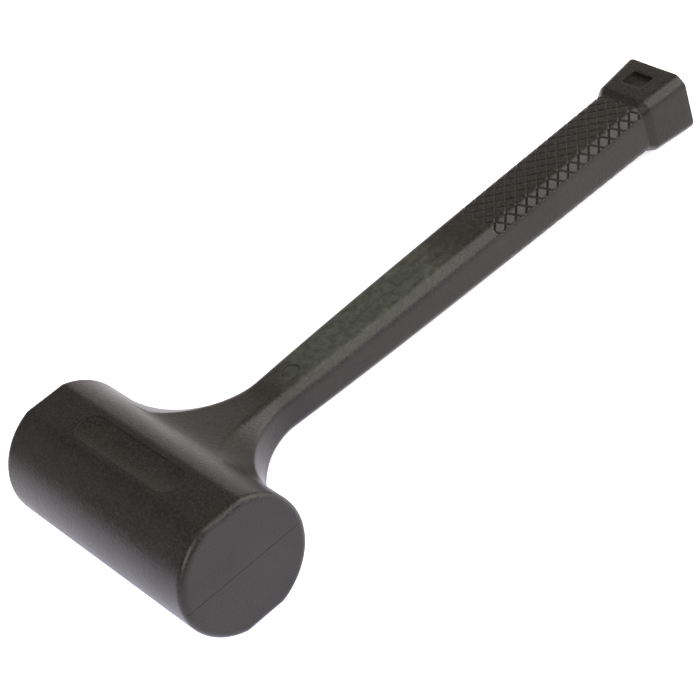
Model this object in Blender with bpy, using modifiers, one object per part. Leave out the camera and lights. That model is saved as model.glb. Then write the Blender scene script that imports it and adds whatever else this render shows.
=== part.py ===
"""Dead blow mallet: a moulded casing over a steel canister, its handle rod and a loose charge of shot.

The origin is the centre of the head's lower flat. +X runs along the head towards the striking face,
+Y along the handle towards the butt, +Z up through the broad faces of the handle.
"""

import math

import bmesh
import bpy
import numpy as np
from mathutils import Matrix, Vector

MM = 0.001
GAP = 0.3 * MM

# Head: a round bar across the handle, flattened above and below.
HEAD_RADIUS = 30.0 * MM
HEAD_LENGTH = 122.0 * MM
FLAT_HEIGHT = 28.5 * MM
RIM_ROUNDING = 2.5 * MM
AXIS = Vector((0.0, 0.0, FLAT_HEIGHT))

# Neck and handle: an eight-sided section, given by half width, half thickness and chamfer setback.
NECK_WIDTH = 10.6 * MM
GRIP_WIDTH = 14.3 * MM
WIDTH_START, WIDTH_REACH = 60.0 * MM, 50.0 * MM
NECK_THICKNESS = 9.2 * MM
GRIP_THICKNESS = 12.3 * MM
THICKNESS_START = 60.0 * MM
FULL_CHAMFER = 4.2 * MM
CHAMFER_START, CHAMFER_REACH = 42.0 * MM, 20.0 * MM
LEAST_CHAMFER = 0.6 * MM
SIDE_STEPS = (1, 6, 1, 4)
FOOT_RINGS, FILLET_RINGS, SHANK_RINGS = 4, 11, 14

# Neck: a fillet at its sides and a longer sweep over its broad faces, both stopping just short of
# tangent to the head.
FILLET_RADIUS = 38.0 * MM
FILLET_START = HEAD_RADIUS + FILLET_RADIUS
SIDE_SWEEP = 0.985 * FILLET_RADIUS
SHOULDER_RADIUS = 120.0 * MM
SHOULDER_REACH = HEAD_RADIUS + SHOULDER_RADIUS
SHOULDER_PLACE = math.sqrt(SHOULDER_REACH**2 - (NECK_THICKNESS + SHOULDER_RADIUS) ** 2)
SHOULDER_SWEEP = 0.96 * SHOULDER_PLACE * SHOULDER_RADIUS / SHOULDER_REACH
NECK_FOOT = 20.0 * MM

# Butt: a short flared block behind a ramp.
HANDLE_END = 273.5 * MM
BUTT_START = 277.4 * MM
BUTT_END = 298.2 * MM
BUTT_START_SIZE = (15.7 * MM, 13.6 * MM, 3.6 * MM)
BUTT_END_SIZE = (17.7 * MM, 14.6 * MM, 3.8 * MM)
BUTT_ROUNDING = 0.8 * MM

# Shallow marks of the mould.
PANEL_LENGTH, PANEL_WIDTH, PANEL_DEPTH = 65.0 * MM, 13.0 * MM, 0.5 * MM
MARK_PLACE, MARK_RADIUS, MARK_DEPTH = 77.2 * MM, 4.0 * MM, 0.3 * MM
POCKET_PLACE, POCKET_DEPTH = 287.6 * MM, 2.0 * MM
POCKET_WIDE, POCKET_LONG = 12.0 * MM, 8.0 * MM
CUTTER_RISE = 2.0 * MM
LOCATING_HOLE_RADIUS = 3.0 * MM

# Steel canister across the head.
CANISTER_RADIUS = 24.0 * MM
CANISTER_WALL = 2.0 * MM
CANISTER_LENGTH = 98.0 * MM
CAP_THICKNESS = 3.0 * MM
CAP_CHAMFER = 0.6 * MM

# Steel rod down the handle, with a weld fillet at its foot and ring grooves near its tip.
ROD_RADIUS = 6.0 * MM
ROD_TIP = 262.0 * MM
WELD_RADIUS, WELD_REACH, WELD_STEPS = 9.5 * MM, 5.0 * MM, 4
ROD_FOOT = CANISTER_RADIUS - 6.0 * MM
GROOVE_PLACES = (222.0 * MM, 234.0 * MM, 246.0 * MM)
GROOVE_WIDTH, GROOVE_DEPTH = 5.0 * MM, 1.2 * MM
ROD_CHAMFER = 1.0 * MM

# Loose shot.
SHOT_COUNT = 48
SHOT_RADIUS = 6.0 * MM
SHOT_TRIES = 20000
SHOT_SEED = 7
WALL_SHARE = 1.25

# Facets: steps round a full turn, or along the arc that the name says.
BROAD_TURN_STEPS, SLIM_TURN_STEPS = 64, 32
HEAD_ARC_STEPS, PANEL_END_STEPS = 32, 12
RIM_SEGMENTS, BUTT_SEGMENTS = 4, 3
RIM_ANGLE = math.radians(60)
SMOOTH_ANGLE = math.radians(35)

BLACK_PLASTIC = ("black_plastic", (0.03, 0.03, 0.028, 1.0), 0.5, 0.0)
CANISTER_STEEL = ("canister_steel", (0.42, 0.42, 0.43, 1.0), 0.4, 1.0)
ROD_STEEL = ("rod_steel", (0.33, 0.33, 0.35, 1.0), 0.45, 1.0)
SHOT_STEEL = ("shot_steel", (0.5, 0.49, 0.47, 1.0), 0.3, 1.0)


def clear_scene():
    for obj in list(bpy.data.objects):
        bpy.data.objects.remove(obj, do_unlink=True)


def new_collection(name):
    collection = bpy.data.collections.new(name)
    bpy.context.scene.collection.children.link(collection)
    return collection


def new_material(name, colour, roughness, metallic):
    material = bpy.data.materials.new(name)
    material.use_nodes = True
    shader = material.node_tree.nodes["Principled BSDF"]
    shader.inputs["Base Color"].default_value = colour
    shader.inputs["Roughness"].default_value = roughness
    shader.inputs["Metallic"].default_value = metallic
    material.diffuse_color = colour
    return material


def new_object(name, bm, collection, material=None):
    bmesh.ops.recalc_face_normals(bm, faces=bm.faces)
    mesh = bpy.data.meshes.new(name)
    bm.to_mesh(mesh)
    bm.free()
    obj = bpy.data.objects.new(name, mesh)
    collection.objects.link(obj)
    if material:
        mesh.materials.append(material)
    return obj


def hide_as_cutter(obj):
    obj.hide_render = True
    obj.display_type = "WIRE"
    return obj


def add_boolean(obj, other, operation="DIFFERENCE"):
    modifier = obj.modifiers.new(f"{operation.lower()}_{other.name}", "BOOLEAN")
    modifier.object = other
    modifier.operation = operation


def shade_smooth(obj):
    obj.data.shade_smooth()
    obj.data.set_sharp_from_angle(angle=SMOOTH_ANGLE)


def arc(centre, radius, start, end, steps):
    """Points on an arc, angles in radians, both ends included."""
    turns = (start + (end - start) * i / steps for i in range(steps + 1))
    return [(centre[0] + radius * math.cos(t), centre[1] + radius * math.sin(t)) for t in turns]


def loft(bm, rings):
    """Skins rings of equal count and closes both ends."""
    rows = [[bm.verts.new(point) for point in ring] for ring in rings]
    for lower, upper in zip(rows, rows[1:]):
        for i in range(len(lower)):
            j = (i + 1) % len(lower)
            bm.faces.new((lower[i], lower[j], upper[j], upper[i]))
    bm.faces.new(rows[0][::-1])
    bm.faces.new(rows[-1])


def prism(outline, low, high, place):
    """A solid between two copies of an outline: place(u, v, height) gives the point in space."""
    bm = bmesh.new()
    loft(bm, [[place(u, v, height) for u, v in outline] for height in (low, high)])
    return bm


def turned(name, profile, axis, steps, collection, material=None):
    """A solid turned from (radius, height) points, listed from the top down, about a world axis."""
    bm = bmesh.new()
    row = [bm.verts.new((radius, 0.0, height)) for radius, height in profile]
    for upper, lower in zip(row, row[1:]):
        bm.edges.new((upper, lower))
    mesh = bpy.data.meshes.new(name)
    bm.to_mesh(mesh)
    bm.free()
    obj = bpy.data.objects.new(name, mesh)
    collection.objects.link(obj)
    if material:
        mesh.materials.append(material)
    screw = obj.modifiers.new("turn", "SCREW")
    screw.steps = screw.render_steps = steps
    screw.use_merge_vertices = True
    screw.merge_threshold = 0.00001
    obj.rotation_euler = {"X": (0.0, math.pi / 2, 0.0), "Y": (-math.pi / 2, 0.0, 0.0)}[axis]
    return obj


def head_outline():
    """The head's section across its axis: two arcs joined by flats, as (y, z) about the axis."""
    edge = math.asin(FLAT_HEIGHT / HEAD_RADIUS)
    front = arc((0.0, 0.0), HEAD_RADIUS, -edge, edge, HEAD_ARC_STEPS)
    return front + [(-y, -z) for y, z in front]


def handle_size(y):
    """Half width, half thickness and chamfer setback of the handle at y, out to its ramp."""
    width = GRIP_WIDTH - (GRIP_WIDTH - NECK_WIDTH) * math.exp(-max(y - WIDTH_START, 0.0) / WIDTH_REACH)
    rise = (y - THICKNESS_START) / (HANDLE_END - THICKNESS_START)
    thickness = NECK_THICKNESS + (GRIP_THICKNESS - NECK_THICKNESS) * max(rise, 0.0)
    chamfer = FULL_CHAMFER * (1.0 - math.exp(-max(y - CHAMFER_START, 0.0) / CHAMFER_REACH))
    side = min(max(FILLET_START - y, 0.0), SIDE_SWEEP)
    width += FILLET_RADIUS - math.sqrt(FILLET_RADIUS**2 - side**2)
    shoulder = min(max(SHOULDER_PLACE - y, 0.0), SHOULDER_SWEEP)
    thickness += SHOULDER_RADIUS - math.sqrt(SHOULDER_RADIUS**2 - shoulder**2)
    return width, thickness, max(chamfer, LEAST_CHAMFER)


def eight_sided(y, width, thickness, chamfer):
    """The handle's section at y, which rounds to an ellipse where the neck spreads into the head."""
    corners = [
        (width, thickness - chamfer),
        (width - chamfer, thickness),
        (chamfer - width, thickness),
        (-width, thickness - chamfer),
    ]
    corners += [(-x, -z) for x, z in corners]
    rounding = min(max((FILLET_START - y) / FILLET_RADIUS, 0.0), 1.0)
    ring = []
    for i, start in enumerate(corners):
        end = corners[(i + 1) % len(corners)]
        steps = SIDE_STEPS[i % len(SIDE_STEPS)]
        for step in range(steps):
            x, z = (a + (b - a) * step / steps for a, b in zip(start, end))
            turn = math.atan2(z / thickness, x / width)
            x += (width * math.cos(turn) - x) * rounding
            z += (thickness * math.sin(turn) - z) * rounding
            ring.append((x, y, AXIS.z + z))
    return ring


def build_head(collection):
    half = HEAD_LENGTH / 2
    bm = prism(head_outline(), -half, half, lambda y, z, x: (x, y, AXIS.z + z))
    obj = new_object("head_bar", bm, collection)
    rim = obj.modifiers.new("rim", "BEVEL")
    rim.width = RIM_ROUNDING
    rim.segments = RIM_SEGMENTS
    rim.limit_method = "ANGLE"
    rim.angle_limit = RIM_ANGLE
    return hide_as_cutter(obj)


def build_handle(collection):
    widest = math.asin(SIDE_SWEEP / FILLET_RADIUS)
    turns = (widest * (1 - i / FILLET_RINGS) for i in range(FILLET_RINGS + 1))
    fillet = [FILLET_START - FILLET_RADIUS * math.sin(turn) for turn in turns]
    foot = [NECK_FOOT + (fillet[0] - NECK_FOOT) * i / FOOT_RINGS for i in range(FOOT_RINGS)]
    shank_length = HANDLE_END - FILLET_START
    shank = [FILLET_START + shank_length * i / SHANK_RINGS for i in range(1, SHANK_RINGS + 1)]
    rings = [eight_sided(y, *handle_size(y)) for y in foot + fillet + shank]
    rings.append(eight_sided(BUTT_START, *BUTT_START_SIZE))
    rings.append(eight_sided(BUTT_END, *BUTT_END_SIZE))
    bm = bmesh.new()
    loft(bm, rings)
    bmesh.ops.triangulate(bm, faces=[face for face in bm.faces if len(face.verts) == 4])
    end_edges = [e for e in bm.edges if all(abs(v.co.y - BUTT_END) < GAP for v in e.verts)]
    bmesh.ops.bevel(
        bm, geom=end_edges, offset=BUTT_ROUNDING, segments=BUTT_SEGMENTS, affect="EDGES", profile=0.5
    )
    return hide_as_cutter(new_object("handle_bar", bm, collection))


def rod_profile(grow=0.0):
    """Outline of the rod from tip to foot; grow thickens it all over, for the channel it lies in."""
    radius = ROD_RADIUS + grow
    tip = ROD_TIP + grow
    points = [(0.0, tip), (radius - ROD_CHAMFER, tip), (radius, tip - ROD_CHAMFER)]
    for place in reversed(GROOVE_PLACES):
        half, floor = GROOVE_WIDTH / 2, radius - GROOVE_DEPTH
        slope = half - GROOVE_DEPTH
        points += [(radius, place + half), (floor, place + slope)]
        points += [(floor, place - slope), (radius, place - half)]
    for step in range(WELD_STEPS + 1):
        turn = math.pi / 2 * step / WELD_STEPS
        across = (WELD_RADIUS - ROD_RADIUS) * (1.0 - math.cos(turn))
        points.append((radius + across, CANISTER_RADIUS + WELD_REACH * (1.0 - math.sin(turn))))
    points += [(WELD_RADIUS + grow, ROD_FOOT), (0.0, ROD_FOOT)]
    return points


def build_cavities(collection):
    """What the moulding leaves open inside: the canister's bed, and the rod's channel with a
    locating hole that runs on from its tip to the butt's end."""
    bed_radius, bed_half = CANISTER_RADIUS + GAP, CANISTER_LENGTH / 2 + GAP
    profile = [(0.0, bed_half), (bed_radius, bed_half), (bed_radius, -bed_half), (0.0, -bed_half)]
    bed = turned("canister_bed", profile, "X", BROAD_TURN_STEPS, collection)
    mouth, tip = BUTT_END + CUTTER_RISE, ROD_TIP + GAP
    hole = [(0.0, mouth), (LOCATING_HOLE_RADIUS, mouth), (LOCATING_HOLE_RADIUS, tip)]
    channel = turned("rod_channel", hole + rod_profile(GAP)[1:], "Y", SLIM_TURN_STEPS, collection)
    for cavity in (bed, channel):
        cavity.location = AXIS
    return [hide_as_cutter(cavity) for cavity in (bed, channel)]


def build_marks(collection):
    """Shallow recesses on the upper side: head panel, ejector mark and butt pocket."""
    top = AXIS.z + FLAT_HEIGHT
    end = PANEL_LENGTH / 2 - PANEL_WIDTH / 2
    right = arc((end, 0.0), PANEL_WIDTH / 2, -math.pi / 2, math.pi / 2, PANEL_END_STEPS)
    outline = right + [(-x, -y) for x, y in right]
    panel = prism(outline, top - PANEL_DEPTH, top + CUTTER_RISE, lambda x, y, z: (x, y, z))

    surface = AXIS.z + handle_size(MARK_PLACE)[1]
    ring = arc((0.0, MARK_PLACE), MARK_RADIUS, 0.0, 2 * math.pi, SLIM_TURN_STEPS)[:-1]
    mark = prism(ring, surface - MARK_DEPTH, surface + CUTTER_RISE, lambda x, y, z: (x, y, z))

    along = (POCKET_PLACE - BUTT_START) / (BUTT_END - BUTT_START)
    butt_top = AXIS.z + BUTT_START_SIZE[1] + (BUTT_END_SIZE[1] - BUTT_START_SIZE[1]) * along
    centre = (0.0, POCKET_PLACE, butt_top + CUTTER_RISE)
    size = (POCKET_WIDE, POCKET_LONG, 2 * (POCKET_DEPTH + CUTTER_RISE))
    pocket = bmesh.new()
    bmesh.ops.create_cube(pocket, size=1.0, matrix=Matrix.LocRotScale(centre, None, size))
    solids = {"head_panel": panel, "ejector_mark": mark, "butt_pocket": pocket}
    return [hide_as_cutter(new_object(name, bm, collection)) for name, bm in solids.items()]


def build_casing(parts, cutters):
    bm = bmesh.new()
    bmesh.ops.create_cube(bm, size=FLAT_HEIGHT, matrix=Matrix.Translation(AXIS))
    casing = new_object("casing", bm, parts, new_material(*BLACK_PLASTIC))
    for shape in (build_head(cutters), build_handle(cutters)):
        add_boolean(casing, shape, "UNION")
    for cutter in build_cavities(cutters) + build_marks(cutters):
        add_boolean(casing, cutter)
    shade_smooth(casing)


def build_canister(parts):
    steel = new_material(*CANISTER_STEEL)
    half, inner = CANISTER_LENGTH / 2, CANISTER_RADIUS - CANISTER_WALL
    outer = CANISTER_RADIUS
    section = [(inner, half), (outer, half), (outer, -half), (inner, -half), (inner, half)]
    tube = turned("canister_tube", section, "X", BROAD_TURN_STEPS, parts, steel)
    tube.location = AXIS
    radius, thick = inner - GAP, CAP_THICKNESS
    disc = [
        (0.0, thick),
        (radius - CAP_CHAMFER, thick),
        (radius, thick - CAP_CHAMFER),
        (radius, CAP_CHAMFER),
        (radius - CAP_CHAMFER, 0.0),
        (0.0, 0.0),
    ]
    for name, low_end in (("canister_cap_front", half - thick), ("canister_cap_rear", -half)):
        cap = turned(name, disc, "X", BROAD_TURN_STEPS, parts, steel)
        cap.location = AXIS + Vector((low_end, 0.0, 0.0))


def build_rod(parts, cutters):
    rod = turned("handle_rod", rod_profile(), "Y", SLIM_TURN_STEPS, parts, new_material(*ROD_STEEL))
    rod.location = AXIS
    bm = bmesh.new()
    bmesh.ops.create_cone(
        bm, cap_ends=True, segments=BROAD_TURN_STEPS, depth=CANISTER_LENGTH,
        radius1=CANISTER_RADIUS + GAP, radius2=CANISTER_RADIUS + GAP,
    )
    saddle = hide_as_cutter(new_object("canister_saddle", bm, cutters))
    saddle.location = AXIS
    saddle.rotation_euler = (0.0, math.pi / 2, 0.0)
    add_boolean(rod, saddle)


def pour_shot():
    """Ball centres about the head's axis, each dropped towards the rear cap onto those before it."""
    rng = np.random.default_rng(SHOT_SEED)
    reach = CANISTER_RADIUS - CANISTER_WALL - SHOT_RADIUS - GAP
    floor = -CANISTER_LENGTH / 2 + CAP_THICKNESS + SHOT_RADIUS + GAP
    apart = 2 * SHOT_RADIUS + GAP
    placed = np.empty((0, 3))
    for _ in range(SHOT_COUNT):
        radius = reach * np.minimum(1.0, WALL_SHARE * np.sqrt(rng.random(SHOT_TRIES)))
        turn = rng.uniform(0.0, 2 * math.pi, SHOT_TRIES)
        y, z = radius * np.cos(turn), radius * np.sin(turn)
        aside = (y[:, None] - placed[:, 1]) ** 2 + (z[:, None] - placed[:, 2]) ** 2
        rise = np.sqrt(np.maximum(apart**2 - aside, 0.0))
        stops = np.where(aside < apart**2, placed[:, 0] + rise, floor)
        x = stops.max(axis=1, initial=floor)
        lowest = x.argmin()
        placed = np.vstack([placed, (x[lowest], y[lowest], z[lowest])])
    return placed.tolist()


def build_shot(parts):
    slide = bpy.data.objects.new("shot_slide_axis", None)
    slide.location = AXIS
    parts.objects.link(slide)
    steel = new_material(*SHOT_STEEL)
    bm = bmesh.new()
    bmesh.ops.create_icosphere(bm, subdivisions=2, radius=SHOT_RADIUS)
    mesh = bpy.data.meshes.new("shot_ball")
    bm.to_mesh(mesh)
    bm.free()
    mesh.shade_smooth()
    mesh.materials.append(steel)
    for number, centre in enumerate(pour_shot(), start=1):
        ball = bpy.data.objects.new(f"shot_{number:02d}", mesh)
        ball.parent = slide
        ball.location = centre
        parts.objects.link(ball)


def main():
    clear_scene()
    parts = new_collection("dead_blow_mallet")
    cutters = new_collection("cutters")
    build_casing(parts, cutters)
    build_canister(parts)
    build_rod(parts, cutters)
    build_shot(parts)


main()
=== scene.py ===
"""Looks of the dead blow mallet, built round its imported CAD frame.

The casing is one moulding, so its visible surface is one mesh: a grid round the head, a patch that
carries the neck's fillet, and rings down the handle. The steel inside is remade piece by piece.
Lengths are in millimetres about the head's axis until a mesh is made.
"""

import math

import bmesh
import bpy
import numpy as np
from mathutils import Matrix, Vector


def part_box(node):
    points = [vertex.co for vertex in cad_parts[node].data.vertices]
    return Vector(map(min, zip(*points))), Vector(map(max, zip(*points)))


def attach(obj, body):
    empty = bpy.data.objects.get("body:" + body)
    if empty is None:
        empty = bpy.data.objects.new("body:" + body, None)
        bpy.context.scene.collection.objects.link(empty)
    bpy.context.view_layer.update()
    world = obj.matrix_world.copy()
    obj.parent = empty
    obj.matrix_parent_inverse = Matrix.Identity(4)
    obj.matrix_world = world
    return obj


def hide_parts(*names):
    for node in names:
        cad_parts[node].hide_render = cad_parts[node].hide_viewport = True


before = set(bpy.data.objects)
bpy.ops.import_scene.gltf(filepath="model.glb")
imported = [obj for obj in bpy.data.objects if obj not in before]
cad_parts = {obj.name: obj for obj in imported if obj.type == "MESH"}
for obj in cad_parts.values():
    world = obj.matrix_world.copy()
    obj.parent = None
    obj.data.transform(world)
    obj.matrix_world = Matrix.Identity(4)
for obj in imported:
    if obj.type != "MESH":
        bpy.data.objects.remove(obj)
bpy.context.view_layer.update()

MM = 0.001


def box_mm(node):
    low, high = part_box(node)
    return np.array(low) / MM, np.array(high) / MM


CASING_LOW, CASING_HIGH = box_mm("casing")
AXIS_HEIGHT = (CASING_LOW[2] + CASING_HIGH[2]) / 2
AXIS = Vector((0.0, 0.0, AXIS_HEIGHT * MM))

# Head, from the casing's box.
HEAD_RADIUS = -CASING_LOW[1]
HEAD_HALF = CASING_HIGH[0]
FLAT_HEIGHT = (CASING_HIGH[2] - CASING_LOW[2]) / 2
RIM_ROUNDING = 3.0
FLAT_EDGE_ROUNDING = 6.0

# Handle section: half width, half thickness and chamfer setback along the handle.
NECK_WIDTH, GRIP_WIDTH = 11.0, 14.3
WIDTH_START, WIDTH_REACH = 64.0, 50.0
NECK_THICKNESS, GRIP_THICKNESS = 9.4, 12.3
THICKNESS_START = 60.0
FULL_CHAMFER, CHAMFER_START, CHAMFER_REACH = 4.2, 20.0, 20.0
LEAST_CHAMFER = 0.4
EDGE_ROUNDING, EDGE_REACH = 1.1, 20.0
# Radii of the fillets that join the handle's faces to the head.
SIDE_FILLET, BROAD_FILLET, CHAMFER_FILLET = 37.0, 42.0, 39.0

# Butt, from the casing's box and the ramp before it.
BUTT_END = CASING_HIGH[1]
RAMP_START, RAMP_END = BUTT_END - 24.7, BUTT_END - 20.8
BUTT_START_SIZE = np.array([15.7, 13.6, 3.6])
BUTT_END_SIZE = np.array([17.7, 14.6, 3.8])
BUTT_ROUNDING = 0.7

# Points round the handle: broad face, chamfer and side, in grid steps.
BROAD_STEPS, CHAMFER_STEPS, SIDE_STEPS = 48, 14, 20
RING = 2 * (BROAD_STEPS + SIDE_STEPS) + 4 * CHAMFER_STEPS
ACROSS = BROAD_STEPS + CHAMFER_STEPS
DOWN = SIDE_STEPS + CHAMFER_STEPS
# Ring columns on the chamfers' edges.
FIRST_SIDE = ACROSS + CHAMFER_STEPS // 2
BROAD_EDGES = [start + turn for turn in (0, RING // 2)
               for start in (CHAMFER_STEPS // 2, ACROSS - CHAMFER_STEPS // 2)]
SIDE_EDGES = [start + turn for turn in (0, RING // 2)
              for start in (FIRST_SIDE, FIRST_SIDE + SIDE_STEPS)]
# Ring columns in the middle of the two sides, where the parting line runs.
WITNESS_COLUMNS = [FIRST_SIDE + SIDE_STEPS // 2 + turn for turn in (0, RING // 2)]
# Steps from a side's end to its next two points.
SIDE_END_STEPS = (0.45, 1.0)

# Patch that joins the neck to the head.
PATCH_HALF = 52.0
PATCH_TURN = math.radians(60.0)
PATCH_TOP = 62.0
PATCH_RINGS = 34
# Before the patch is drawn onto the skin, its rings bend over a corner between head and handle.
CORNER_LIFT = 0.8
CORNER_RIM_SHARE = 0.25

# Steps round and along the head, apart from the patch's own.
ROWS_ABOVE_PATCH, BEND_STEPS, FLAT_STEPS, OUTER_STEPS = 4, 4, 12, 12
RIM_STEPS, BUTT_EDGE_STEPS = 7, 6
CAP_INSET = 0.5

# Rings down the handle: the gap before the grip, and those that hold the butt's shape after its ramp.
SHANK_RINGS, RAMP_RINGS, BUTT_RINGS = 46, 5, 9
SHANK_GAP = 0.4
AFTER_RAMP = (0.3, 1.2, 3.0)

# Diamond grip: lattice cells of 16 steps, crossings on the chamfer 8 steps from its broad edge.
CELL_STEPS = 16
CELL_LENGTH = 6.377
CELLS = 14
GRIP_END = RAMP_START - 0.2
GRIP_START = GRIP_END - CELLS * CELL_LENGTH
CROSSING_STEP = 8
GROOVE_DEPTH, BROAD_GROOVE_SHARE, SIDE_GROOVE_SHARE = 0.5, 0.6, 0.4
GROOVE_PROFILE = (1.0, 0.62, 0.0)
BROAD_MARGIN = 0.1
PILLOW = 0.03

# Parting line of the mould, on the mid plane: a cut in the striking faces, a trace elsewhere.
WITNESS_HALF, WITNESS_DEPTH = 0.25, 0.02
WITNESS_SLANT = 0.7
FACE_LINE_DEPTH = 0.22

# Steadies the steps that move points onto edges and onto the skin.
EDGE_DAMPING, LEAST_SLOPE_SQUARED = 0.02, 0.2


# ---------------------------------------------------------------- shape of the moulding

def handle_size(y):
    """Half width, half thickness and chamfer setback at each y, before any fillet."""
    width = GRIP_WIDTH - (GRIP_WIDTH - NECK_WIDTH) * np.exp(-np.maximum(y - WIDTH_START, 0) / WIDTH_REACH)
    rise = np.maximum(y - THICKNESS_START, 0) / (RAMP_START - THICKNESS_START)
    thickness = NECK_THICKNESS + (GRIP_THICKNESS - NECK_THICKNESS) * rise
    chamfer = FULL_CHAMFER * (1 - np.exp(-np.maximum(y - CHAMFER_START, 0) / CHAMFER_REACH))
    size = np.stack([width, thickness, np.maximum(chamfer, LEAST_CHAMFER)])
    at_ramp = np.stack([GRIP_WIDTH, GRIP_THICKNESS, FULL_CHAMFER])[:, None]
    up_ramp = np.clip((y - RAMP_START) / (RAMP_END - RAMP_START), 0, 1)
    along_butt = np.clip((y - RAMP_END) / (BUTT_END - RAMP_END), 0, 1)
    size = np.where(y > RAMP_START, at_ramp + (BUTT_START_SIZE[:, None] - at_ramp) * up_ramp, size)
    butt = BUTT_START_SIZE[:, None] + np.outer(BUTT_END_SIZE - BUTT_START_SIZE, along_butt)
    return np.where(y > RAMP_END, butt, size)


def rounded_max(a, b, radius):
    inside = np.minimum(-radius, np.maximum(a, b))
    return inside + np.hypot(np.maximum(a + radius, 0), np.maximum(b + radius, 0))


def filleted(face, head, cosine, radius):
    """Distance to a face joined to the head by a fillet; cosine is that of their normals' angle."""
    along_face = (radius - face) - cosine * (radius - head)
    along_head = (radius - head) - cosine * (radius - face)
    squares = along_face**2 + along_head**2 + 2 * cosine * along_face * along_head
    fillet = radius - np.sqrt(np.maximum(squares, 0)) / (1 - cosine**2)
    return np.where((along_face > 0) & (along_head > 0), fillet, np.minimum(face, head))


def face_distances(points):
    """Signed distances to the side, broad and chamfer faces, each filleted into the head's round bar."""
    x, y, z = np.abs(points[:, 0]), points[:, 1], np.abs(points[:, 2])
    width, thickness, chamfer = handle_size(y)
    from_axis = np.hypot(y, z)
    head = from_axis - HEAD_RADIUS
    rise = np.minimum(z / from_axis, 0.999)
    chamfer_face = (x + z - width - thickness + chamfer) / math.sqrt(2)
    return np.stack([
        filleted(x - width, head, np.zeros_like(rise), SIDE_FILLET),
        filleted(z - thickness, head, rise, BROAD_FILLET),
        filleted(chamfer_face, head, rise * math.sqrt(0.5), CHAMFER_FILLET),
    ])


def skin_distance(points):
    """Signed distance to the moulding round the handle and the middle of the head."""
    side, broad, chamfer = face_distances(points)
    edge = EDGE_ROUNDING * np.clip((points[:, 1] - HEAD_RADIUS) / EDGE_REACH, 0, 1)
    return rounded_max(rounded_max(side, broad, edge), chamfer, edge)


def slopes(distance, points, free_axes, step=0.02):
    """Gradient of a distance along the free axes, as points by 3."""
    slope = np.zeros(distance(points).shape + (3,))
    for axis in free_axes:
        shift = np.zeros(3)
        shift[axis] = step
        slope[..., axis] = (distance(points + shift) - distance(points - shift)) / (2 * step)
    return slope


def onto_edges(points, free_axes, rounds=25):
    """Moves the ring columns that bound the chamfers onto the chamfers' edges, and spreads each
    column's shift over those between."""
    moved = points.copy()
    for columns, faces in ((BROAD_EDGES, [1, 2]), (SIDE_EDGES, [0, 2])):
        edge = points[:, columns].reshape(-1, 3)
        for _ in range(rounds):
            value = face_distances(edge)[faces]
            slope = slopes(lambda p: face_distances(p)[faces], edge, free_axes)
            gram = np.einsum("ank,bnk->nab", slope, slope) + EDGE_DAMPING * np.eye(2)
            share = np.linalg.solve(gram, value.T[..., None])[..., 0]
            edge = edge - np.einsum("na,ank->nk", share, slope)
        moved[:, columns] = edge.reshape(len(points), -1, 3)
    shift = moved - points
    known = sorted(BROAD_EDGES + SIDE_EDGES)
    chords = np.linalg.norm(np.roll(points, -1, axis=1) - points, axis=2)
    along = np.cumsum(chords, axis=1) - chords
    for row, places in enumerate(along):
        around = chords[row].sum()
        for axis in range(3):
            shift[row, :, axis] = np.interp(places, places[known], shift[row, known, axis], period=around)
    return points + shift


def onto_skin(points, free_axes, rounds=14):
    """Moves points to the skin down its gradient, along the free axes only."""
    for _ in range(rounds):
        slope = slopes(skin_distance, points, free_axes)
        push = skin_distance(points) / np.maximum((slope**2).sum(axis=1), LEAST_SLOPE_SQUARED)
        points = points - slope * push[:, None]
    return points


def side_places(half):
    """Places down one side face, crowded at its ends and at the witness line."""
    ends = [half, half - SIDE_END_STEPS[0], half - SIDE_END_STEPS[1]]
    middle = np.linspace(ends[-1], 2 * WITNESS_HALF, SIDE_STEPS // 2 - 3)[1:-1]
    upper = np.concatenate([ends, middle, [2 * WITNESS_HALF, WITNESS_HALF]])
    return np.concatenate([upper, [0.0], -upper[::-1]])


def handle_ring(y):
    """One ring of the handle on its sharp outline, from the middle of the upper -X chamfer."""
    width, thickness, chamfer = (float(v[0]) for v in handle_size(np.array([y])))
    half = CHAMFER_STEPS // 2
    broad = width - chamfer
    side = thickness - chamfer
    over = [(-width + chamfer * i / CHAMFER_STEPS, side + chamfer * i / CHAMFER_STEPS)
            for i in range(half, CHAMFER_STEPS)]
    over += [(-broad + 2 * broad * i / BROAD_STEPS, thickness) for i in range(BROAD_STEPS)]
    over += [(broad + chamfer * i / CHAMFER_STEPS, thickness - chamfer * i / CHAMFER_STEPS)
             for i in range(half)]
    down = [(broad + chamfer * i / CHAMFER_STEPS, thickness - chamfer * i / CHAMFER_STEPS)
            for i in range(half, CHAMFER_STEPS)]
    down += [(width, z) for z in side_places(side)[:-1]]
    down += [(width - chamfer * i / CHAMFER_STEPS, -side - chamfer * i / CHAMFER_STEPS)
             for i in range(half)]
    quarter_turn = over + down
    return np.array([(x, y, z) for x, z in quarter_turn + [(-x, -z) for x, z in quarter_turn]])


def lattice_column():
    """Grip lattice number of each ring point, or NaN on the plain sides."""
    half = CHAMFER_STEPS // 2
    edge = CROSSING_STEP
    rising = [edge - CHAMFER_STEPS + i for i in range(half, CHAMFER_STEPS)]
    broad = [edge + min(i, BROAD_STEPS - i) for i in range(BROAD_STEPS + 1)]
    falling = [edge - i for i in range(1, CHAMFER_STEPS + 1)]
    side = [math.nan] * (SIDE_STEPS - 1)
    climbing = [edge - CHAMFER_STEPS + i for i in range(half)]
    return np.array(2 * (rising + broad + falling + side + climbing))


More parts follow.
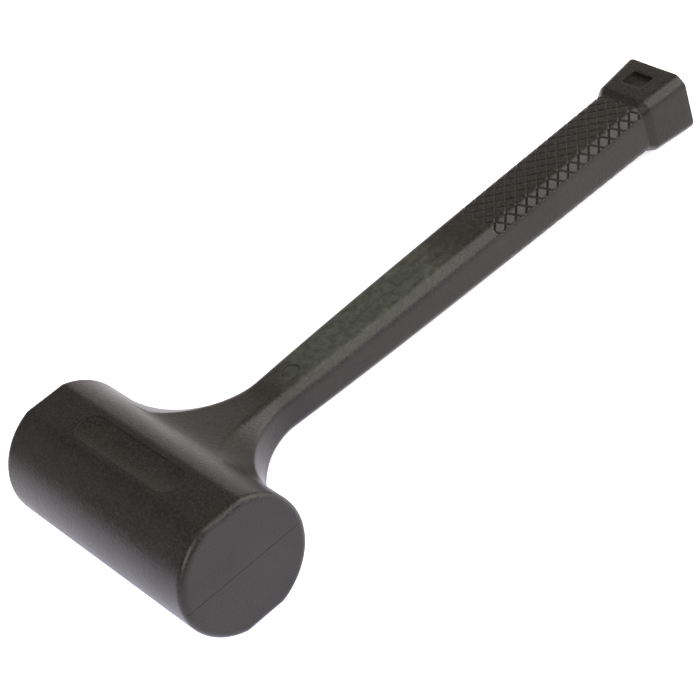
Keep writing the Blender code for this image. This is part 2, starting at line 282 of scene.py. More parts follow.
def groove_depth(row, column):
    """How far the diamond grip sinks at a lattice place: two families of grooves between pillows."""
    depth = np.zeros(np.broadcast(row, column).shape)
    crown = np.ones_like(depth)
    for family in (row + column, row - column):
        off = np.abs((family + CELL_STEPS / 2) % CELL_STEPS - CELL_STEPS / 2)
        depth = np.maximum(depth, np.interp(off, [0, 1, 2], GROOVE_PROFILE))
        crown *= np.sin(math.pi * off / CELL_STEPS) ** 0.5
    return GROOVE_DEPTH * depth - PILLOW * crown


def handle_rows():
    """Every y of the handle's rings, and how many of them are the shank's and the grip's."""
    shank = np.linspace(PATCH_TOP, GRIP_START - SHANK_GAP, SHANK_RINGS)
    grip = GRIP_START + CELL_LENGTH / CELL_STEPS * np.arange(CELLS * CELL_STEPS + 1)
    ramp = np.linspace(RAMP_START, RAMP_END, RAMP_RINGS)
    near = [RAMP_END + AFTER_RAMP[0], RAMP_END + AFTER_RAMP[1]]
    butt = np.linspace(RAMP_END + AFTER_RAMP[2], BUTT_END - BUTT_ROUNDING, BUTT_RINGS)
    return np.concatenate([shank, grip, ramp, near, butt]), len(shank), len(grip)


def handle_grid():
    """Ring points of the whole handle, as rows by columns, its counts of rings and the grip's depth."""
    rows, shank, grip = handle_rows()
    sharp = np.stack([handle_ring(y) for y in rows])
    sharp[:shank] = onto_edges(sharp[:shank], (0, 2))
    points = onto_skin(sharp.reshape(-1, 3), (0, 2)).reshape(sharp.shape)
    column = lattice_column()
    knurled = ~np.isnan(column)
    row = np.arange(grip)[:, None]
    depth = groove_depth(row, np.nan_to_num(column)[None, :]) * knurled
    depth[:, column == CROSSING_STEP - CHAMFER_STEPS] *= SIDE_GROOVE_SHARE
    fade = np.clip(np.minimum(row, grip - 1 - row), 0, 1)
    width, _, chamfer = handle_size(rows[shank:shank + grip])
    grip_points = points[shank:shank + grip]
    x, z = grip_points[..., 0], grip_points[..., 2]
    on_broad = np.abs(x) <= (width - chamfer)[:, None] - BROAD_MARGIN
    lean = np.where(on_broad, 0.0, math.sqrt(0.5))
    rise = np.where(on_broad, BROAD_GROOVE_SHARE, math.sqrt(0.5))
    grip_points[..., 0] -= np.sign(x) * lean * depth * fade
    grip_points[..., 2] -= np.sign(z) * rise * depth * fade
    points[:, WITNESS_COLUMNS, 0] -= np.sign(points[:, WITNESS_COLUMNS, 0]) * WITNESS_DEPTH
    return points, shank, grip, depth * fade


def butt_cap(last_ring):
    """Rings that round the butt's end edge and close it."""
    rings = []
    centre_y = BUTT_END - BUTT_ROUNDING
    flat = last_ring[:, [0, 2]]
    reach = np.hypot(flat[:, 0], flat[:, 1])
    for turn in np.linspace(0, math.pi / 2, BUTT_EDGE_STEPS + 1)[1:]:
        inset = BUTT_ROUNDING * (1 - math.cos(turn))
        ring = last_ring.copy()
        ring[:, [0, 2]] = flat * (1 - inset / reach)[:, None]
        ring[:, 1] = centre_y + BUTT_ROUNDING * math.sin(turn)
        rings.append(ring)
    inner = rings[-1].copy()
    inner[:, [0, 2]] *= 1 - CAP_INSET / reach[:, None]
    rings.append(inner)
    return np.array(rings)


def patch_rings(first_ring, rim):
    """Rings between the head's surface (rim) and the handle (first_ring), on the filleted skin."""
    share = np.linspace(0, 1, PATCH_RINGS + 1)[1:-1, None, None]
    corner = first_ring.copy()
    lift = np.minimum(np.abs(corner[:, 2]), HEAD_RADIUS * CORNER_LIFT)
    corner[:, 1] = np.sqrt(HEAD_RADIUS**2 - lift**2)
    corner[:, 0] = (1 - CORNER_RIM_SHARE) * corner[:, 0] + CORNER_RIM_SHARE * rim[:, 0]
    path = (1 - share) ** 2 * rim + 2 * share * (1 - share) * corner + share**2 * first_ring
    path = onto_edges(path, (0, 2))
    points = onto_skin(path.reshape(-1, 3), (0, 1, 2), rounds=25).reshape(path.shape)
    for column in WITNESS_COLUMNS:
        side = np.sign(points[:, column, 0])
        outward = np.stack([side, np.ones_like(side), np.zeros_like(side)], axis=1) * WITNESS_SLANT
        points[:, column] -= WITNESS_DEPTH * outward
    return points


def head_turns():
    """Angles of the head's front half from its upper flat edge down, with the patch's own rows among
    them, and the angle where the round bar ends."""
    centre = HEAD_RADIUS - FLAT_EDGE_ROUNDING
    tangent = math.atan2(FLAT_HEIGHT - FLAT_EDGE_ROUNDING,
                         math.sqrt(centre**2 - (FLAT_HEIGHT - FLAT_EDGE_ROUNDING) ** 2))
    lines = np.array([2 * WITNESS_HALF, WITNESS_HALF, 0.0]) / HEAD_RADIUS
    upper = np.concatenate([
        np.linspace(tangent, PATCH_TURN, ROWS_ABOVE_PATCH + 1)[:-1],
        np.linspace(PATCH_TURN, lines[0], DOWN // 2 - 1),
        lines[1:],
    ])
    return np.concatenate([upper, -upper[-2::-1]]), tangent


def head_section():
    """(y, z) points round the head's section, starting at the front's upper edge, and how many of
    them are the front's."""
    turns, tangent = head_turns()
    front = HEAD_RADIUS * np.stack([np.cos(turns), np.sin(turns)], axis=1)
    centre_z = FLAT_HEIGHT - FLAT_EDGE_ROUNDING
    centre_y = math.sqrt((HEAD_RADIUS - FLAT_EDGE_ROUNDING) ** 2 - centre_z**2)
    bend = np.linspace(tangent, math.pi / 2, BEND_STEPS + 1)[1:]
    bend_points = np.stack([centre_y + FLAT_EDGE_ROUNDING * np.cos(bend),
                            centre_z + FLAT_EDGE_ROUNDING * np.sin(bend)], axis=1)
    level = np.linspace(centre_y, -centre_y, FLAT_STEPS + 1)[1:-1]
    flat = np.stack([level, np.full_like(level, FLAT_HEIGHT)], axis=1)
    lower_flat = bend_points * [1, -1]
    under = flat * [1, -1]
    back = front[::-1] * [-1, 1]
    loop = [front, lower_flat, under, lower_flat[::-1] * [-1, 1], back,
            bend_points * [-1, 1], flat[::-1], bend_points[::-1]]
    return np.concatenate(loop), len(front)


def head_columns():
    """x places along the head between its rims, and how many lie beyond the patch at each end."""
    middle = np.linspace(-PATCH_HALF, PATCH_HALF, ACROSS + 1)
    end = HEAD_HALF - RIM_ROUNDING
    outer = np.linspace(PATCH_HALF, end, OUTER_STEPS + 1)[1:]
    return np.concatenate([-outer[::-1], middle, outer]), len(outer)


class Surface:
    """Vertices and faces gathered from grids."""

    def __init__(self):
        self.points = []
        self.faces = []

    def add(self, points):
        start = sum(len(p) for p in self.points)
        self.points.append(points.reshape(-1, 3))
        return start + np.arange(points.reshape(-1, 3).shape[0]).reshape(points.shape[:-1])

    def skin(self, rows, closed=True):
        """Quads between successive rows of vertex numbers."""
        for lower, upper in zip(rows, rows[1:]):
            ends = (np.roll(lower, -1), np.roll(upper, -1)) if closed else (lower[1:], upper[1:])
            count = len(ends[0])
            self.faces += np.stack([lower[:count], ends[0], ends[1], upper[:count]], axis=1).tolist()

    def mesh(self, name):
        bm = bmesh.new()
        for point in np.concatenate(self.points) * MM + np.array(AXIS):
            bm.verts.new(point)
        bm.verts.ensure_lookup_table()
        for face in self.faces:
            bm.faces.new([bm.verts[i] for i in face])
        bmesh.ops.recalc_face_normals(bm, faces=bm.faces)
        mesh = bpy.data.meshes.new(name)
        bm.to_mesh(mesh)
        bm.free()
        return mesh


def skin_grip(surface, ids, depth):
    """Triangles over the grip, split along whichever diagonal runs level with the grooves."""
    for row in range(len(ids) - 1):
        for k in range(RING):
            n = (k + 1) % RING
            a, b, c, d = ids[row, k], ids[row, n], ids[row + 1, n], ids[row + 1, k]
            da, db, dc, dd = depth[row, k], depth[row, n], depth[row + 1, n], depth[row + 1, k]
            if max(da, db, dc, dd) <= 0 and min(da, db, dc, dd) >= 0:
                surface.faces.append([a, b, c, d])
            elif (abs(da - dc), -da - dc) <= (abs(db - dd), -db - dd):
                surface.faces += [[a, b, c], [a, c, d]]
            else:
                surface.faces += [[a, b, d], [b, c, d]]


def cap_head(surface, rim_ids, rim_points, side, front_count):
    """Closes one end of the head: rounded rim, then rows across the face with the witness line."""
    section = rim_points[:, 1:]
    reach = np.hypot(section[:, 0], section[:, 1])
    witness = np.isclose(section[:, 1], 0.0, atol=1e-6)
    rows = [rim_ids]
    for turn in np.linspace(0, math.pi / 2, RIM_STEPS + 1)[1:]:
        ring = np.empty((len(section), 3))
        ring[:, 1:] = section * (1 - RIM_ROUNDING * (1 - math.cos(turn)) / reach)[:, None]
        ring[:, 0] = side * (HEAD_HALF - RIM_ROUNDING * (1 - math.sin(turn)))
        ring[witness, 0] -= side * FACE_LINE_DEPTH * math.sin(turn)
        rows.append(surface.add(ring))
    inner = ring.copy()
    inner[:, 1:] *= 1 - CAP_INSET / reach[:, None]
    inner_ids = surface.add(inner)
    rows.append(inner_ids)
    surface.skin(rows)
    count = len(section)
    bend_and_flat = (count - 2 * front_count) // 2
    front = inner_ids[:front_count]
    back = inner_ids[front_count + bend_and_flat:2 * front_count + bend_and_flat][::-1]
    for i in range(front_count - 1):
        surface.faces.append([front[i], front[i + 1], back[i + 1], back[i]])
    lower = inner_ids[front_count - 1:front_count + bend_and_flat + 1]
    upper = np.append(inner_ids[2 * front_count + bend_and_flat - 1:], inner_ids[0])
    surface.faces += [lower.tolist(), upper.tolist()]


def build_skin_mesh():
    """The whole moulding: head with a window for the patch, patch, handle and the three end caps."""
    surface = Surface()
    section, front_count = head_section()
    columns, outer = head_columns()
    head = np.empty((len(columns), len(section), 3))
    head[..., 0] = columns[:, None]
    head[..., 1:] = section[None]
    mid = front_count // 2
    back_mid = np.argmin(section[:, 0])
    head[:, mid, 1] -= WITNESS_DEPTH
    head[:, back_mid, 1] += WITNESS_DEPTH
    head_ids = surface.add(head)
    top, bottom = ROWS_ABOVE_PATCH, front_count - 1 - ROWS_ABOVE_PATCH
    left, right = outer, outer + ACROSS
    for i in range(len(columns) - 1):
        for j in range(len(section)):
            if left <= i < right and top <= j < bottom:
                continue
            n = (j + 1) % len(section)
            surface.faces.append([head_ids[i, j], head_ids[i + 1, j], head_ids[i + 1, n], head_ids[i, n]])
    over = head_ids[left:right, top]
    down = head_ids[right, top:bottom]
    under = head_ids[left + 1:right + 1, bottom][::-1]
    up = head_ids[left, top + 1:bottom + 1][::-1]
    rim_ids = np.concatenate([over, down, under, up])
    all_head = head.reshape(-1, 3)
    rim_points = all_head[rim_ids]
    grid, shank, grip, depth = handle_grid()
    patch_ids = surface.add(patch_rings(grid[0], rim_points))
    grid_ids = surface.add(grid)
    surface.skin([rim_ids, *patch_ids, *grid_ids[:shank + 1]])
    skin_grip(surface, grid_ids[shank:shank + grip], depth)
    cap_ids = surface.add(butt_cap(grid[-1]))
    surface.skin([*grid_ids[shank + grip - 1:], *cap_ids])
    surface.faces.append(cap_ids[-1].tolist())
    cap_head(surface, head_ids[-1], head[-1], 1, front_count)
    cap_head(surface, head_ids[0], head[0], -1, front_count)
    return surface.mesh("casing_skin")


# ---------------------------------------------------------------- cuts in the moulding

PANEL_LENGTH, PANEL_WIDTH, PANEL_DEPTH = 65.0, 13.0, 0.3
MARK_X, MARK_Y, MARK_RADIUS, MARK_DEPTH = 0.8, 77.2, 4.0, 0.45
POCKET_X, POCKET_Y, POCKET_WIDE, POCKET_LONG, POCKET_DEPTH = -0.6, 287.5, 11.6, 8.0, 2.0
POCKET_CORNER = 0.6
RECESS_LIP, POCKET_LIP = 0.12, 0.25
# Keeps a round end's straight side from shrinking to nothing.
ROUND_END_SLACK = 0.01
# Cutter heights over the surface, and a quarter arc's middle inset as a share of its radius.
CUTTER_TOP, CUTTER_MOUTH, ARC_MIDDLE = 1.5, 0.02, 0.29
LOCATING_HOLE_RADIUS, HOLE_CHAMFER, HOLE_OVERRUN = 3.0, 0.5, 1
BED_GAP = 0.3


def rounded_outline(wide, long, corner, steps=12):
    """Points round a rectangle with round corners, counter-clockwise, as (x, y)."""
    points = []
    for quarter, (sx, sy) in enumerate(((1, 1), (-1, 1), (-1, -1), (1, -1))):
        for i in range(steps + 1):
            turn = (quarter + i / steps) * math.pi / 2
            points.append((sx * (wide / 2 - corner) + corner * math.cos(turn),
                           sy * (long / 2 - corner) + corner * math.sin(turn)))
    return np.array(points)


def recess_cutter(name, wide, long, corner, depth, lip, place, slope=0.0):
    """A sunk panel's cutter: its mouth flares to a soft lip and its floor meets the wall in a fillet."""
    bend = ARC_MIDDLE * lip
    profile = [(CUTTER_TOP, lip), (CUTTER_MOUTH, lip), (-bend, bend), (-lip, 0.0)]
    profile += [(-depth + lip, 0.0), (-depth + bend, -bend), (-depth, -lip)]
    surface = Surface()
    rings = []
    for height, grow in profile:
        outline = rounded_outline(wide + 2 * grow, long + 2 * grow, corner + grow)
        ring = np.column_stack([outline, np.full(len(outline), height)])
        rings.append(surface.add(ring))
    surface.skin(rings)
    surface.faces += [rings[0].tolist(), rings[-1][::-1].tolist()]
    mesh = surface.mesh(name)
    mesh.transform(Matrix.Translation(-AXIS))
    mesh.transform(Matrix.Translation(AXIS + Vector(place) * MM) @ Matrix.Rotation(slope, 4, "X"))
    return mesh


def turned_mesh(name, profile, axis, steps):
    """A solid turned about X or Y from (radius, place) points; a profile that ends where it starts
    makes a ring, and any other has flat ends."""
    turns = np.linspace(0, 2 * math.pi, steps + 1)[:-1]
    surface = Surface()
    rings = []
    for radius, place in profile:
        across, up = radius * np.cos(turns), radius * np.sin(turns)
        along = np.full(steps, place)
        ring = (along, across, up) if axis == "X" else (across, along, up)
        rings.append(surface.add(np.stack(ring, axis=1)))
    hollow = profile[0] == profile[-1]
    surface.skin(rings[:-1] + [rings[0]] if hollow else rings)
    if not hollow:
        surface.faces += [rings[0].tolist(), rings[-1].tolist()]
    return surface.mesh(name)


def new_piece(name, mesh):
    piece = bpy.data.objects.new(name, mesh)
    bpy.context.scene.collection.objects.link(piece)
    return piece


def cut(piece, meshes):
    """Takes each solid out of the piece and bakes the result into its mesh."""
    for mesh in meshes:
        cutter = new_piece("cutter", mesh)
        boolean = piece.modifiers.new("cut", "BOOLEAN")
        boolean.object = cutter
        boolean.solver = "MANIFOLD"
    bpy.context.view_layer.update()
    graph = bpy.context.evaluated_depsgraph_get()
    result = bpy.data.meshes.new_from_object(piece.evaluated_get(graph))
    cutters = [modifier.object for modifier in piece.modifiers]
    piece.modifiers.clear()
    piece.data = result
    for cutter in cutters:
        bpy.data.objects.remove(cutter, do_unlink=True)


# Steel inside, from the boxes of its CAD nodes.
ROD_TIP = box_mm("handle_rod")[1][1]
TUBE_HALF, TUBE_RADIUS = box_mm("canister_tube")[1][:2]
CAP_LOW, CAP_HIGH = box_mm("canister_cap_front")
CAP_INNER, CAP_RADIUS = CAP_LOW[0], CAP_HIGH[1]
TUBE_CHAMFER, CAP_CHAMFER = 0.4, 0.6
# Dish in a cap's outer face: (radius, depth).
CAP_DISH = ((8.0, 0.8), (12.0, 0.7), (14.0, 0.0))
ROD_RADIUS, ROD_CHAMFER, ROD_CHAMFER_BEND = 6.0, 1.0, 0.3
WELD_RADIUS, WELD_REACH, WELD_STEPS = 9.5, 5.0, 8
# The rod's foot runs this far into the tube's round before the saddle is cut.
ROD_FOOT, SADDLE_HALF = 6.0, 30.0
ROD_GROOVES = (246.0, 234.0, 222.0)
GROOVE_HALF, GROOVE_FLOOR = 2.5, 1.2


def rod_profile(grow=0.0):
    """(radius, y) of the rod from tip to foot, thickened by grow."""
    tip, radius = ROD_TIP + grow, ROD_RADIUS + grow
    points = [(radius - ROD_CHAMFER, tip), (radius - ROD_CHAMFER_BEND, tip - ROD_CHAMFER_BEND),
              (radius, tip - ROD_CHAMFER)]
    for place in ROD_GROOVES:
        flat = GROOVE_HALF - GROOVE_FLOOR
        points += [(radius, place + GROOVE_HALF), (radius - GROOVE_FLOOR, place + flat)]
        points += [(radius - GROOVE_FLOOR, place - flat), (radius, place - GROOVE_HALF)]
    for turn in np.linspace(0, math.pi / 2, WELD_STEPS + 1):
        across = (WELD_RADIUS - ROD_RADIUS) * (1 - math.cos(turn))
        points.append((radius + across, TUBE_RADIUS + WELD_REACH * (1 - math.sin(turn))))
    return points + [(WELD_RADIUS + grow, TUBE_RADIUS - ROD_FOOT)]


def cavity_meshes():
    """Cutters for the canister's bed, the rod's channel and the hole in the butt's end."""
    bed_radius, bed_half = TUBE_RADIUS + BED_GAP, TUBE_HALF + BED_GAP
    bed = turned_mesh("bed", [(bed_radius, bed_half), (bed_radius, -bed_half)], "X", 96)
    channel = turned_mesh("channel", rod_profile(BED_GAP), "Y", 48)
    mouth_radius = LOCATING_HOLE_RADIUS + HOLE_CHAMFER
    mouth = [(mouth_radius, BUTT_END + HOLE_OVERRUN), (mouth_radius, BUTT_END),
             (LOCATING_HOLE_RADIUS, BUTT_END - HOLE_CHAMFER),
             (LOCATING_HOLE_RADIUS, ROD_TIP - HOLE_OVERRUN)]
    return [bed, channel, turned_mesh("hole", mouth, "Y", 40)]


def build_casing(material):
    casing = new_piece("moulded_casing", build_skin_mesh())
    mark_top = float(handle_size(np.array([MARK_Y]))[1][0])
    mark_slope = math.atan((GRIP_THICKNESS - NECK_THICKNESS) / (RAMP_START - THICKNESS_START))
    butt_top = float(handle_size(np.array([POCKET_Y]))[1][0])
    butt_slope = math.atan((BUTT_END_SIZE[1] - BUTT_START_SIZE[1]) / (BUTT_END - RAMP_END))
    panel = recess_cutter("panel", PANEL_LENGTH, PANEL_WIDTH, PANEL_WIDTH / 2 - ROUND_END_SLACK,
                          PANEL_DEPTH, RECESS_LIP, (0, 0, FLAT_HEIGHT))
    mark = recess_cutter("mark", 2 * MARK_RADIUS, 2 * MARK_RADIUS, MARK_RADIUS - ROUND_END_SLACK,
                         MARK_DEPTH, RECESS_LIP, (MARK_X, MARK_Y, mark_top), mark_slope)
    pocket = recess_cutter("pocket", POCKET_WIDE, POCKET_LONG, POCKET_CORNER,
                           POCKET_DEPTH, POCKET_LIP, (POCKET_X, POCKET_Y, butt_top), butt_slope)
    cut(casing, [panel, mark, pocket, *cavity_meshes()])
    finish_piece(casing, material, "mallet", "casing", angle=40)


def finish_piece(piece, material, body, node, angle=35):
    piece.data.materials.clear()
    piece.data.materials.append(material)
    piece.data.shade_smooth()
    piece.data.set_sharp_from_angle(angle=math.radians(angle))
    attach(piece, body)
    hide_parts(node)


# ---------------------------------------------------------------- steel inside

def build_canister(material):
    outer, inner, end, level = TUBE_RADIUS, CAP_RADIUS + BED_GAP, TUBE_HALF, TUBE_HALF - TUBE_CHAMFER
    mouth = [(inner, level), (inner + TUBE_CHAMFER, end), (outer - TUBE_CHAMFER, end), (outer, level)]
    ring = mouth + [(radius, -place) for radius, place in mouth[::-1]]
    tube = new_piece("steel_tube", turned_mesh("steel_tube", ring + ring[:1], "X", 96))
    finish_piece(tube, material, "mallet", "canister_tube")
    for side, node in ((1, "canister_cap_front"), (-1, "canister_cap_rear")):
        faces = [(CAP_RADIUS - CAP_CHAMFER, TUBE_HALF), (CAP_RADIUS, TUBE_HALF - CAP_CHAMFER),
                 (CAP_RADIUS, CAP_INNER + CAP_CHAMFER), (CAP_RADIUS - CAP_CHAMFER, CAP_INNER)]
        dish = [(radius, TUBE_HALF - depth) for radius, depth in CAP_DISH]
        profile = [(radius, side * place) for radius, place in dish + faces]
        cap = new_piece(f"steel_{node[9:]}", turned_mesh(node, profile, "X", 96))
        finish_piece(cap, material, "mallet", node)


def build_rod(material):
    rod = new_piece("steel_rod", turned_mesh("steel_rod", rod_profile(), "Y", 64))
    saddle_radius = TUBE_RADIUS + BED_GAP
    saddle = turned_mesh("saddle", [(saddle_radius, SADDLE_HALF), (saddle_radius, -SADDLE_HALF)], "X", 96)
    cut(rod, [saddle])
    finish_piece(rod, material, "mallet", "handle_rod")


def build_shot(material):
    bm = bmesh.new()
    low, high = box_mm("shot_01")
    bmesh.ops.create_icosphere(bm, subdivisions=4, radius=(high - low).max() / 2 * MM)
    mesh = bpy.data.meshes.new("shot_ball")
    bm.to_mesh(mesh)
    bm.free()
    for node in sorted(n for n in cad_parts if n.startswith("shot_")):
        low, high = box_mm(node)
        ball = new_piece(node.replace("shot_", "steel_ball_"), mesh)
        ball.location = Vector((low + high) / 2 * MM)
        finish_piece(ball, material, "shot_charge", node)


# ---------------------------------------------------------------- materials

DEEP_BLACK, WORN_BLACK = (0.0100, 0.0087, 0.0062), (0.0143, 0.0126, 0.0094)
# The second colour here is painted shade for the parting line's groove on the striking faces.
PALE_DUST, LINE_SHADE = (0.044, 0.041, 0.038), (0.003, 0.003, 0.003)
# A paler olive tint on the upward faces of the handle, between the places on the next line, in mm.
UPWARD_OLIVE = (0.056, 0.062, 0.047)
OLIVE_FROM, OLIVE_TO, OLIVE_FADE = 85.0, 150.0, 22.0
FACE_LINE_HALF = 0.24


class Nodes:
    """Short hands for building a material's node tree."""

    def __init__(self, name):
        self.material = bpy.data.materials.new(name)
        self.material.use_nodes = True
        self.tree = self.material.node_tree
        self.shader = self.tree.nodes["Principled BSDF"]
        self.place = self.tree.nodes.new("ShaderNodeTexCoord").outputs["Object"]

    def add(self, kind, **inputs):
        node = self.tree.nodes.new(kind)
        for name, value in inputs.items():
            socket = node.inputs[name.replace("_", " ")]
            if isinstance(value, bpy.types.NodeSocket):
                self.tree.links.new(value, socket)
            else:
                socket.default_value = value
        return node

    def noise(self, scale, detail=2.0, roughness=0.5, place=None):
        return self.add("ShaderNodeTexNoise", Vector=place or self.place, Scale=scale, Detail=detail,
                        Roughness=roughness).outputs["Fac"]

    def stretched(self, scale):
        return self.add("ShaderNodeMapping", Vector=self.place, Scale=scale).outputs["Vector"]

    def ramp(self, value, *stops):
        node = self.add("ShaderNodeValToRGB", Fac=value)
        elements = node.color_ramp.elements
        while len(elements) < len(stops):
            elements.new(0.5)
        for element, (place, colour) in zip(elements, stops):
            element.position = place
            element.color = (*colour, 1.0) if isinstance(colour, tuple) else (colour, colour, colour, 1.0)
        return node.outputs["Color"]

    def math(self, kind, first, second=0.0, clamp=False):
        node = self.tree.nodes.new("ShaderNodeMath")
        node.operation = kind
        node.use_clamp = clamp
        for index, value in enumerate((first, second)):
            if isinstance(value, bpy.types.NodeSocket):
                self.tree.links.new(value, node.inputs[index])
            else:
                node.inputs[index].default_value = value
        return node.outputs[0]

    def axis(self, name):
        return self.add("ShaderNodeSeparateXYZ", Vector=self.place).outputs[name]

    def band(self, value, middle, half, fade):
        """1 within half of the middle, falling to 0 over the fade, all in metres."""
        off = self.math("ABSOLUTE", self.math("SUBTRACT", value, middle))
        return self.math("DIVIDE", self.math("SUBTRACT", half + fade, off), fade, clamp=True)

    def along_y(self, start, end, fade):
        """A cloudy stretch with soft ends between two places along the handle, in mm, on faces that
        look up."""
        middle, half = (start + end) / 2 * MM, (end - start) / 2 * MM
        along = self.band(self.axis("Y"), middle, half, fade * MM)
        cloudy = self.ramp(self.noise(260.0, 4.0, 0.65), (0.35, 0.25), (0.65, 1.0))
        return self.math("MULTIPLY", self.math("MULTIPLY", along, self.facing_up(0.62, 3.0)), cloudy)

    def facing_up(self, least, gain):
        """0 where the surface's normal rises less than least, growing by gain to 1 at most."""
        normal = self.tree.nodes.new("ShaderNodeNewGeometry").outputs["Normal"]
        rise = self.add("ShaderNodeSeparateXYZ", Vector=normal).outputs["Z"]
        return self.math("MULTIPLY", self.math("SUBTRACT", rise, least), gain, clamp=True)

    def painted_line_shade(self, half):
        """Painted shade in the parting line's groove on both striking faces, broken by noise; half is in
        mm.
        """
        line = self.band(self.axis("Z"), AXIS_HEIGHT * MM, half * MM, 0.1 * MM)
        line = self.math("MULTIPLY", line, self.ramp(self.noise(55.0), (0.40, 0.3), (0.52, 1.0)))
        ends = self.math("GREATER_THAN", self.math("ABSOLUTE", self.axis("X")), (HEAD_HALF - 0.5) * MM)
        return self.math("MULTIPLY", line, ends)

    def mix(self, factor, first, second):
        node = self.tree.nodes.new("ShaderNodeMix")
        node.data_type = "RGBA"
        for index, value in ((0, factor), (6, first), (7, second)):
            if isinstance(value, bpy.types.NodeSocket):
                self.tree.links.new(value, node.inputs[index])
            else:
                node.inputs[index].default_value = (*value, 1.0) if isinstance(value, tuple) else value
        return node.outputs[2]

    def bump(self, height, strength, distance, normal=None):
        inputs = {"Height": height, "Strength": strength, "Distance": distance}
        if normal:
            inputs["Normal"] = normal
        return self.add("ShaderNodeBump", **inputs).outputs["Normal"]

    def to(self, socket, value):
        if isinstance(value, bpy.types.NodeSocket):
            self.tree.links.new(value, self.shader.inputs[socket])
        else:
            self.shader.inputs[socket].default_value = value


def moulded_plastic():
    """Black soft plastic: a fine matt grain, cloudy flow marks, a little dust on what looks up, a paler
    olive tint on the upward faces of a stretch of the handle, and painted shade in the parting line."""
    n = Nodes("moulded_black_plastic")
    cloud = n.noise(38.0, 4.0, 0.6)
    mottle = n.noise(1000.0, 3.0, 0.7)
    grain = n.noise(1500.0, 3.0, 0.65)
    body = n.mix(n.ramp(cloud, (0.35, 0.0), (0.65, 1.0)), DEEP_BLACK, WORN_BLACK)
    dust = n.math("MULTIPLY", n.ramp(mottle, (0.42, 0.0), (0.66, 0.5)), n.facing_up(0.1, 2.5))
    dusty = n.mix(dust, body, PALE_DUST)
    # Paler olive tint on the upward faces of a stretch of the handle.
    olive_tinted = n.mix(n.along_y(OLIVE_FROM, OLIVE_TO, OLIVE_FADE), dusty, UPWARD_OLIVE)
    # Painted shade: the parting line's groove on the striking faces is darkened in the base colour.
    line_shaded = n.mix(n.painted_line_shade(FACE_LINE_HALF), olive_tinted, LINE_SHADE)
    n.to("Base Color", line_shaded)
    n.to("Roughness", n.ramp(n.mix(0.5, mottle, cloud), (0.35, 0.27), (0.65, 0.38)))
    n.to("Normal", n.bump(mottle, 0.3, 0.0005, n.bump(grain, 0.25, 0.0002)))
    n.to("Metallic", 0.0)
    n.to("Specular IOR Level", 0.25)
    return n.material


def steel(name, dark, light, stretch, roughness, grain_scale):
    """Bare steel with drawn or rolled streaks and faint scale."""
    n = Nodes(name)
    streaks = n.noise(grain_scale, 3.0, 0.6, n.stretched(stretch))
    scale = n.noise(90.0, 5.0, 0.65)
    n.to("Base Color", n.mix(n.ramp(scale, (0.4, 0.0), (0.65, 1.0)), dark, light))
    n.to("Roughness", n.ramp(n.mix(0.5, streaks, scale), (0.3, roughness - 0.08), (0.7, roughness + 0.1)))
    n.to("Normal", n.bump(streaks, 0.15, 0.0002))
    n.to("Metallic", 1.0)
    return n.material


def floor_material():
    """A white sweep that glows, brighter and bluer before the head than behind it."""
    n = Nodes("pale_floor")
    n.to("Base Color", n.mix(n.noise(3.0), (0.86, 0.84, 0.88), (0.88, 0.86, 0.90)))
    n.to("Roughness", 0.8)
    n.to("Specular IOR Level", 0.2)
    forward = n.math("SUBTRACT", n.math("MULTIPLY", n.axis("X"), GLOW_TURN[0]),
                     n.math("MULTIPLY", n.axis("Y"), GLOW_TURN[1]))
    near = n.math("DIVIDE", n.math("ADD", forward, GLOW_BEHIND), GLOW_RISE, clamp=True)
    n.to("Emission Color", n.mix(near, FAR_GLOW, NEAR_GLOW))
    n.to("Emission Strength", FLOOR_GLOW_STRENGTH)
    return n.material


# ---------------------------------------------------------------- studio

# The studio's lengths are in metres.
FLOOR_HALF = 4.0
FLOOR_GAP = 0.0002
# The floor's glow grows along +X and -Y, from GLOW_BEHIND the origin and over GLOW_RISE.
FAR_GLOW, NEAR_GLOW, FLOOR_GLOW_STRENGTH = (0.61, 0.585, 0.62), (0.80, 0.80, 0.98), 1.15
GLOW_TURN, GLOW_BEHIND, GLOW_RISE = (0.83, 0.55), 0.10, 0.15
WALL_GLOW, CEILING_GLOW, WALL_TOP = (0.10, 0.092, 0.096), (0.23, 0.22, 0.235), 0.42
LIT_CENTRE = Vector((0.0, 0.1, 0.03))
LIGHT_DISTANCE = 1.6
CAMERA_TARGET = Vector((0.00318, 0.10498, 0.00032))
CAMERA_AZIMUTH, CAMERA_ELEVATION, CAMERA_ROLL = 28.15, 38.51, -20.58
CAMERA_DISTANCE = 0.9289
CAMERA_LENS = 116.5


def build_floor():
    """A floor just under the head's lower flat and the butt, tilted as the mallet would lie on it."""
    bm = bmesh.new()
    bmesh.ops.create_grid(bm, x_segments=8, y_segments=8, size=FLOOR_HALF)
    mesh = bpy.data.meshes.new("floor")
    bm.to_mesh(mesh)
    bm.free()
    floor = new_piece("floor", mesh)
    edge = math.sqrt((HEAD_RADIUS - FLAT_EDGE_ROUNDING) ** 2 - (FLAT_HEIGHT - FLAT_EDGE_ROUNDING) ** 2)
    butt_y = BUTT_END - BUTT_ROUNDING
    butt_z = FLAT_HEIGHT - BUTT_END_SIZE[1]
    tilt = math.atan2(butt_z, butt_y - edge)
    floor.rotation_euler = (tilt, 0, 0)
    floor.location = (0, edge * MM * (1 - math.cos(tilt)), -edge * MM * math.sin(tilt) - FLOOR_GAP)
    floor.data.materials.append(floor_material())


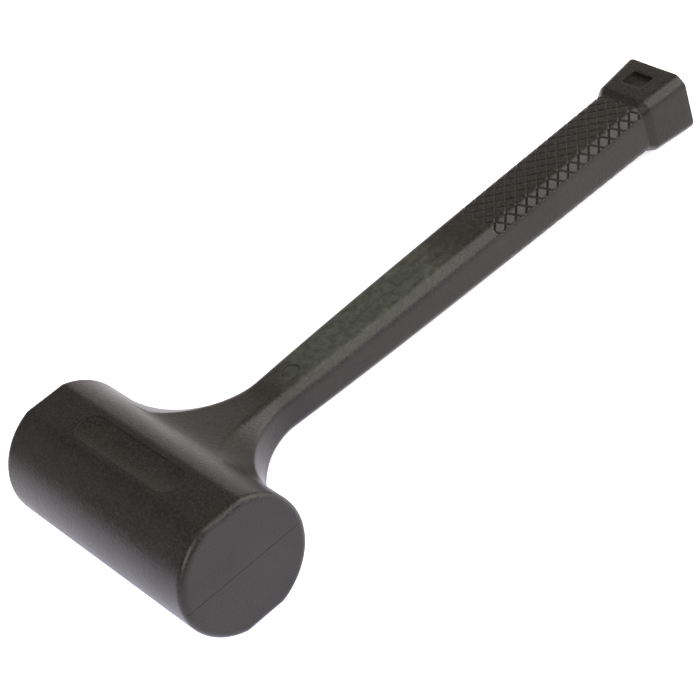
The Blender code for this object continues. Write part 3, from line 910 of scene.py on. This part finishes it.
def build_camera():
    data = bpy.data.cameras.new("camera")
    data.lens = CAMERA_LENS
    data.sensor_width = 36.0
    data.clip_start, data.clip_end = 0.05, 20.0
    camera = bpy.data.objects.new("camera", data)
    bpy.context.scene.collection.objects.link(camera)
    azimuth, elevation = math.radians(CAMERA_AZIMUTH), math.radians(CAMERA_ELEVATION)
    away = Vector((math.cos(elevation) * math.cos(azimuth), -math.cos(elevation) * math.sin(azimuth),
                   math.sin(elevation)))
    level = (-away).to_track_quat("-Z", "Y").to_matrix().to_4x4()
    roll = Matrix.Rotation(math.radians(CAMERA_ROLL), 4, "Z")
    camera.matrix_world = Matrix.Translation(AXIS + CAMERA_TARGET + away * CAMERA_DISTANCE) @ level @ roll
    bpy.context.scene.camera = camera


def soft_box(name, direction, size, radiance, colour):
    """An area light that faces the mallet from the given direction."""
    data = bpy.data.lights.new(name, "AREA")
    data.shape = "RECTANGLE"
    data.size, data.size_y = size
    data.energy = radiance * math.pi * size[0] * size[1]
    data.color = colour
    light = bpy.data.objects.new(name, data)
    away = Vector(direction).normalized()
    light.location = LIT_CENTRE + away * LIGHT_DISTANCE
    light.rotation_euler = away.to_track_quat("Z", "Y").to_euler()
    bpy.context.scene.collection.objects.link(light)


def build_studio():
    build_floor()
    build_camera()
    soft_box("key_box", (0.60, 0.43, 0.68), (1.7, 1.7), 3.6, (1.0, 0.985, 0.94))
    soft_box("neck_box", (0.25, 0.88, 0.40), (1.0, 0.9), 4.5, (1.0, 0.985, 0.95))
    soft_box("rim_box", (0.36, -0.77, 0.53), (0.8, 0.6), 9.0, (1.0, 1.0, 1.0))
    soft_box("front_fill", (-0.69, -0.60, 0.40), (1.0, 0.7), 0.5, (0.92, 0.97, 1.0))
    soft_box("back_glow", (-0.67, 0.70, 0.22), (1.6, 0.9), 0.65, (1.0, 0.86, 0.79))
    world = bpy.data.worlds.new("studio")
    world.use_nodes = True
    tree = world.node_tree
    direction = tree.nodes.new("ShaderNodeTexCoord").outputs["Generated"]
    height = tree.nodes.new("ShaderNodeSeparateXYZ")
    glow = tree.nodes.new("ShaderNodeValToRGB")
    glow.color_ramp.elements[0].color = (*WALL_GLOW, 1.0)
    glow.color_ramp.elements[1].color = (*CEILING_GLOW, 1.0)
    glow.color_ramp.elements[1].position = WALL_TOP
    tree.links.new(direction, height.inputs["Vector"])
    tree.links.new(height.outputs["Z"], glow.inputs["Fac"])
    tree.links.new(glow.outputs["Color"], tree.nodes["Background"].inputs["Color"])
    bpy.context.scene.world = world
    bpy.context.scene.view_settings.view_transform = "Standard"


def main():
    plastic = moulded_plastic()
    canister_steel = steel("drawn_steel", (0.33, 0.33, 0.34), (0.46, 0.46, 0.47), (1, 12, 12), 0.4, 60.0)
    rod_steel = steel("rolled_steel", (0.20, 0.20, 0.21), (0.36, 0.35, 0.35), (8, 1, 8), 0.5, 50.0)
    shot_steel = steel("shot_steel", (0.42, 0.41, 0.40), (0.56, 0.55, 0.53), (1, 1, 1), 0.35, 300.0)
    build_casing(plastic)
    build_canister(canister_steel)
    build_rod(rod_steel)
    build_shot(shot_steel)
    build_studio()


main()
